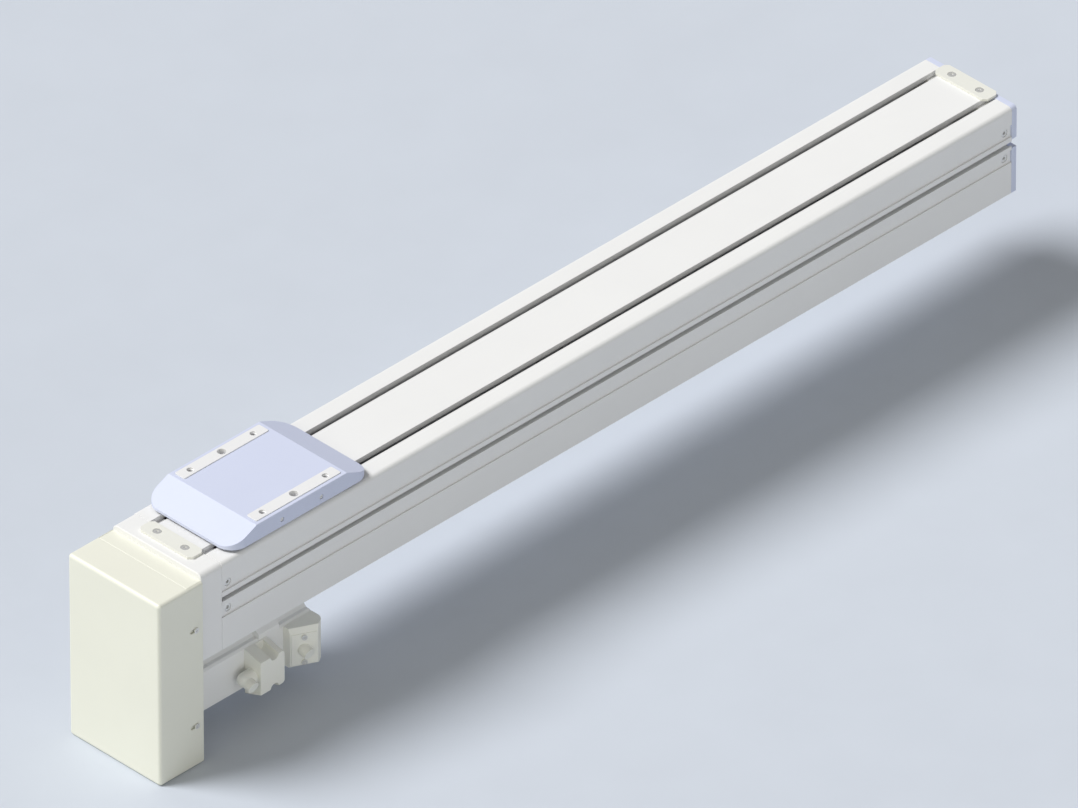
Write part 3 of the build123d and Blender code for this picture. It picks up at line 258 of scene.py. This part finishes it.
def startMaterial(name, color):
    material = bpy.data.materials.new(name)
    material.use_nodes = True
    material.diffuse_color = (*color, 1)
    tree = material.node_tree
    shader = tree.nodes["Principled BSDF"]
    tone = addNode(tree, "ShaderNodeGroup", -300, 200, node_tree=toneDrift)
    tone.inputs["Color"].default_value = (*color, 1)
    tone.inputs["Amount"].default_value = drift["amount"]
    tone.inputs["Scale"].default_value = drift["scale"]
    tree.links.new(tone.outputs["Color"], shader.inputs["Base Color"])
    return material, tree, shader


def joinSurface(tree, shader, texture, rough):
    spread = addNode(tree, "ShaderNodeMapRange", -300, -60)
    spread.inputs["From Min"].default_value = shadeRange[0]
    spread.inputs["From Max"].default_value = shadeRange[1]
    spread.inputs["To Min"].default_value = rough[0]
    spread.inputs["To Max"].default_value = rough[1]
    tree.links.new(texture.outputs["Shade"], spread.inputs["Value"])
    tree.links.new(spread.outputs["Result"], shader.inputs["Roughness"])
    tree.links.new(texture.outputs["Normal"], shader.inputs["Normal"])


def metalMaterial(name, finish):
    material, tree, shader = startMaterial(name, finish["color"])
    shader.inputs["Metallic"].default_value = finish["metal"]
    marks = addNode(tree, "ShaderNodeGroup", -600, -150, node_tree=toolMarks)
    marks.inputs["Stretch"].default_value = finish["marks"]
    marks.inputs["Depth"].default_value = toolLines["depth"]
    joinSurface(tree, shader, marks, finish["rough"])
    return material


def coatMaterial(name, finish):
    material, tree, shader = startMaterial(name, finish["color"])
    shader.inputs["Coat Weight"].default_value = finish["coat"]
    shader.inputs["Coat Roughness"].default_value = coatRoughness
    peel = addNode(tree, "ShaderNodeGroup", -600, -150, node_tree=coatPeel)
    peel.inputs["Scale"].default_value = finish["peel"]
    peel.inputs["Depth"].default_value = pebbling["depth"]
    joinSurface(tree, shader, peel, finish["rough"])
    return material


materials = {slot: metalMaterial(slot, finish) for slot, finish in metalFinishes.items()}
materials.update({slot: coatMaterial(slot, finish) for slot, finish in coatFinishes.items()})
print("materials made:", len(materials))


# Carried-over nodes: finish, facets joined into flat faces, small softened edges.
# ownEdge: thin or tight-cornered nodes take a smaller soft edge, the round outlets and the nut none
dressing = {
    "mergeWithin": 0.000002,
    "flatWithin": 0.8,
    "softEdge": 0.0003,
    "edgeSteps": 2,
    "edgeAngle": 50.0,
    "smoothAngle": 24.0,
    "ownEdge": {
        "cover_strip": 0.0001,
        "idle_end_block": 0.0002,
        "pulley_cover": 0.0001,
        "motor_body": 0.00015,
        "encoder_connector": 0.00015,
        "power_cable_gland": 0.0,
        "encoder_cable_gland": 0.0,
        "ball_nut": 0.0,
    },
}


def softenEdges(obj, width):
    bevel = obj.modifiers.new("softEdges", "BEVEL")
    bevel.width = width
    bevel.segments = dressing["edgeSteps"]
    bevel.use_clamp_overlap = False
    bevel.loop_slide = False  # slid corners would fold the long flat faces over
    bevel.limit_method = "ANGLE"
    bevel.angle_limit = math.radians(dressing["edgeAngle"])


def dressNode(obj, slot, softEdge):
    mesh = obj.data
    mesh.materials.clear()
    mesh.materials.append(materials[slot])
    if "custom_normal" in mesh.attributes:
        # normals made for the bare facets don't fit the softened edges
        mesh.attributes.remove(mesh.attributes["custom_normal"])
    weld = obj.modifiers.new("joinFacets", "WELD")
    weld.merge_threshold = dressing["mergeWithin"]
    flatten = obj.modifiers.new("joinFlats", "DECIMATE")
    flatten.decimate_type = "DISSOLVE"
    flatten.angle_limit = math.radians(dressing["flatWithin"])
    if softEdge:
        softenEdges(obj, softEdge)
    split = obj.modifiers.new("keepCorners", "EDGE_SPLIT")
    split.split_angle = math.radians(dressing["smoothAngle"])
    flats = obj.modifiers.new("flatFaces", "WEIGHTED_NORMAL")
    flats.keep_sharp = True
    mesh.shade_smooth()
    mesh.set_sharp_from_angle(angle=math.radians(dressing["smoothAngle"]))


for part in frame["record"]["subparts"]:
    name = part["node"]
    dressNode(nodes[name], part["material_slot"], dressing["ownEdge"].get(name, dressing["softEdge"]))
print("nodes dressed")


# Mesh helpers
pieceSmoothAngle = 50.0


def keepPiece(name, bm, slot, body):
    # makes the mesh an object that moves with a body and takes the slot's finish
    bmesh.ops.recalc_face_normals(bm, faces=bm.faces)
    mesh = bpy.data.meshes.new(name)
    bm.to_mesh(mesh)
    bm.free()
    mesh.materials.append(materials[slot])
    mesh.shade_smooth()
    mesh.set_sharp_from_angle(angle=math.radians(pieceSmoothAngle))
    obj = bpy.data.objects.new(name, mesh)
    bpy.context.scene.collection.objects.link(obj)
    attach(obj, body)
    return obj


def skinRings(bm, rings):
    # faces between successive rings of equal length, with both ends filled
    made = [[bm.verts.new(point) for point in ring] for ring in rings]
    count = len(made[0])
    for near, far in zip(made, made[1:]):
        for index in range(count):
            after = (index + 1) % count
            bm.faces.new((near[index], near[after], far[after], far[index]))
    bm.faces.new(list(reversed(made[0])))
    bm.faces.new(made[-1])


# Ball screw with its rolled thread: one helical groove, fading out at both shoulders
ballScrew = {
    "axisZ": 0.0366,
    "threadStart": -0.5200,
    "threadEnd": 0.3810,
    "radius": 0.0080,
    "lead": 0.0100,
    "grooveDepth": 0.0012,
    "grooveHalf": 0.0021,  # half of the groove's width
    "grooveSteps": 8,
    "fadeLength": 0.0080,  # the groove runs out over this length at each shoulder
    "turnSteps": 32,
    "mergeWithin": 0.000001,
    "shoulderRadius": 0.0072,
    "fixedSeatEnd": -0.5443,
    "fixedSeatRadius": 0.0060,
    "pulleyRadius": 0.0050,
    "idleShoulderEnd": 0.3883,
    "idleRadius": 0.0050,
    "endChamfer": 0.0006,
    "barSteps": 40,
}


def screwPoint(x, radius, angle):
    return x, radius * math.cos(angle), ballScrew["axisZ"] + radius * math.sin(angle)


def grooveSection():
    # places across one lead, close together over the groove, each with the groove's depth there
    half = ballScrew["grooveHalf"]
    steps = ballScrew["grooveSteps"]
    section = []
    for index in range(steps, -1, -1):
        place = half * math.cos(math.pi * index / steps)
        depth = ballScrew["grooveDepth"] * math.sqrt(max(0.0, 1 - (place / half) ** 2))
        section.append((place, depth))
    section.append((ballScrew["lead"] / 2, 0.0))
    return section


def threadRadius(x, depth):
    # the groove's depth eases to nothing at both shoulders
    room = min(x - ballScrew["threadStart"], ballScrew["threadEnd"] - x)
    fade = min(room / ballScrew["fadeLength"], 1.0)
    return ballScrew["radius"] - depth * fade * fade * (3 - 2 * fade)


def addThread(bm):
    size = ballScrew
    first = size["threadStart"]
    last = size["threadEnd"]
    steps = size["turnSteps"]
    section = grooveSection()
    perTurn = len(section)
    # the spare turns at both ends collapse onto the shoulders and are merged away
    turns = int((last - first) / size["lead"]) + 3
    rings = []
    for turn in range(-1, turns):
        for place, depth in section:
            ring = []
            for index in range(steps):
                x = first + (turn + index / steps) * size["lead"] + place
                x = min(max(x, first), last)
                angle = 2 * math.pi * index / steps
                ring.append(bm.verts.new(screwPoint(x, threadRadius(x, depth), angle)))
            rings.append(ring)
    for number in range(len(rings) - perTurn - 1):
        near = rings[number]
        far = rings[number + 1]
        # the last column meets the first one a whole turn further on
        nearNext = near[1:] + [rings[number + perTurn][0]]
        farNext = far[1:] + [rings[number + perTurn + 1][0]]
        for corners in zip(near, nearNext, farNext, far):
            bm.faces.new(corners)
    bmesh.ops.remove_doubles(bm, verts=bm.verts, dist=size["mergeWithin"])
    loose = [vertex for vertex in bm.verts if not vertex.link_faces]
    bmesh.ops.delete(bm, geom=loose, context="VERTS")
    openEdges = [edge for edge in bm.edges if len(edge.link_faces) == 1]
    bmesh.ops.holes_fill(bm, edges=openEdges, sides=0)


def addBar(bm, profile):
    # solid of revolution about the screw's axis; profile lists (x, radius)
    steps = ballScrew["barSteps"]
    angles = [2 * math.pi * index / steps for index in range(steps)]
    skinRings(bm, [[screwPoint(x, radius, angle) for angle in angles] for x, radius in profile])


def makeBallScrew():
    size = ballScrew
    low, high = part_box("ball_screw")
    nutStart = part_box("bearing_lock_nut")[0].x
    broken = size["endChamfer"]
    bm = bmesh.new()
    addThread(bm)
    # stepped journals at both ends, each end broken by a small chamfer
    addBar(bm, [
        (low.x, size["pulleyRadius"] - broken),
        (low.x + broken, size["pulleyRadius"]),
        (nutStart, size["pulleyRadius"]),
        (nutStart, size["fixedSeatRadius"]),
        (size["fixedSeatEnd"], size["fixedSeatRadius"]),
        (size["fixedSeatEnd"], size["shoulderRadius"]),
        (size["threadStart"], size["shoulderRadius"]),
        (size["threadStart"] + broken, size["shoulderRadius"] - broken),
    ])
    addBar(bm, [
        (size["threadEnd"] - broken, size["shoulderRadius"] - broken),
        (size["threadEnd"], size["shoulderRadius"]),
        (size["idleShoulderEnd"], size["shoulderRadius"]),
        (size["idleShoulderEnd"], size["idleRadius"]),
        (high.x - broken, size["idleRadius"]),
        (high.x, size["idleRadius"] - broken),
    ])
    piece = keepPiece("threaded_ball_screw", bm, "ground_steel", "screw")
    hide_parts("ball_screw")


makeBallScrew()
print("ball screw threaded")


# Threads in the carriage's four tapped holes: a ridge winds down each bore and fades at both ends
holeThread = {
    "mount": "carriage_bolts",
    "pitch": 0.0010,
    "turns": 10,
    "turnSteps": 24,
    "topGap": 0.0008,  # plain bore above the first turn
    "height": 0.00054,
    "seat": 0.00003,  # the ridge's root reaches this far into the metal
    "rootHalf": 0.00042,  # half widths of the ridge, at its root and at its crest
    "crestHalf": 0.00009,
    "tipShare": 0.1,  # share of the ridge's size that is left at both tips
}


def threadRings(origin, bore):
    size = holeThread
    total = size["turns"] * size["turnSteps"]
    rings = []
    for step in range(total + 1):
        angle = 2 * math.pi * step / size["turnSteps"]
        outward = Vector((math.cos(angle), math.sin(angle), 0))
        down = size["pitch"] * step / size["turnSteps"]
        fade = max(min(step, total - step, size["turnSteps"]) / size["turnSteps"], size["tipShare"])
        root = origin + outward * (bore + size["seat"]) - Vector((0, 0, down))
        crest = root - outward * (size["height"] * fade + size["seat"])
        rootHalf = Vector((0, 0, size["rootHalf"] * fade))
        crestHalf = Vector((0, 0, size["crestHalf"] * fade))
        rings.append([root - rootHalf, root + rootHalf, crest + crestHalf, crest - crestHalf])
    return rings


def makeHoleThreads():
    mount = next(item for item in frame["record"]["mounts"] if item["name"] == holeThread["mount"])
    dims = mount["dims"]
    top = Vector(mount["pos_m"]) - Vector((0, 0, holeThread["topGap"]))
    halfX = dims["spacing_x_mm"] / 2000
    halfY = dims["spacing_y_mm"] / 2000
    bm = bmesh.new()
    for x in (-halfX, halfX):
        for y in (-halfY, halfY):
            skinRings(bm, threadRings(top + Vector((x, y, 0)), dims["hole_r_mm"] / 1000))
    keepPiece("carriage_hole_threads", bm, "machined_aluminium", "carriage")


makeHoleThreads()
print("carriage holes threaded")


# Floor and lights; each lamp is a sun that shines from its direction, softened by its angle in degrees
stage = {
    "floorZ": cadLow.z,
    "floorHalf": 12.0,
    "floorColor": (0.56, 0.60, 0.67),
    "floorRoughness": 0.9,
    "floorSpecular": 0.2,
    "worldStrength": 0.30,
    "worldColor": (1.0, 1.0, 1.0),
}
lamps = {
    "keyLamp": {"from": (-0.45, 0.40, 0.80), "strength": 3.05, "color": (1.0, 1.0, 1.0), "angle": 26.0},
    "frontLamp": {"from": (-0.96, -0.12, 0.25), "strength": 0.38, "color": (1.0, 0.94, 0.50), "angle": 40.0},
    "sideLamp": {"from": (-0.30, -0.93, 0.20), "strength": 0.50, "color": (1.0, 1.0, 0.96), "angle": 40.0},
}


def makeFloor():
    material, tree, shader = startMaterial("floorPaper", stage["floorColor"])
    shader.inputs["Roughness"].default_value = stage["floorRoughness"]
    shader.inputs["Specular IOR Level"].default_value = stage["floorSpecular"]
    half = stage["floorHalf"]
    z = stage["floorZ"]
    corners = [(-half, -half, z), (half, -half, z), (half, half, z), (-half, half, z)]
    mesh = bpy.data.meshes.new("floor")
    mesh.from_pydata(corners, [], [(0, 1, 2, 3)])
    mesh.materials.append(material)
    floor = bpy.data.objects.new("floor", mesh)
    bpy.context.scene.collection.objects.link(floor)


def lightScene():
    world = bpy.data.worlds.new("softStudio")
    world.use_nodes = True
    sky = world.node_tree.nodes["Background"]
    sky.inputs["Color"].default_value = (*stage["worldColor"], 1)
    sky.inputs["Strength"].default_value = stage["worldStrength"]
    bpy.context.scene.world = world
    for name, lamp in lamps.items():
        data = bpy.data.lights.new(name, "SUN")
        data.energy = lamp["strength"]
        data.color = lamp["color"]
        data.angle = math.radians(lamp["angle"])
        obj = bpy.data.objects.new(name, data)
        obj.rotation_euler = Vector(lamp["from"]).to_track_quat("Z", "Y").to_euler()
        bpy.context.scene.collection.objects.link(obj)


makeFloor()
lightScene()
print("stage and lamps placed")
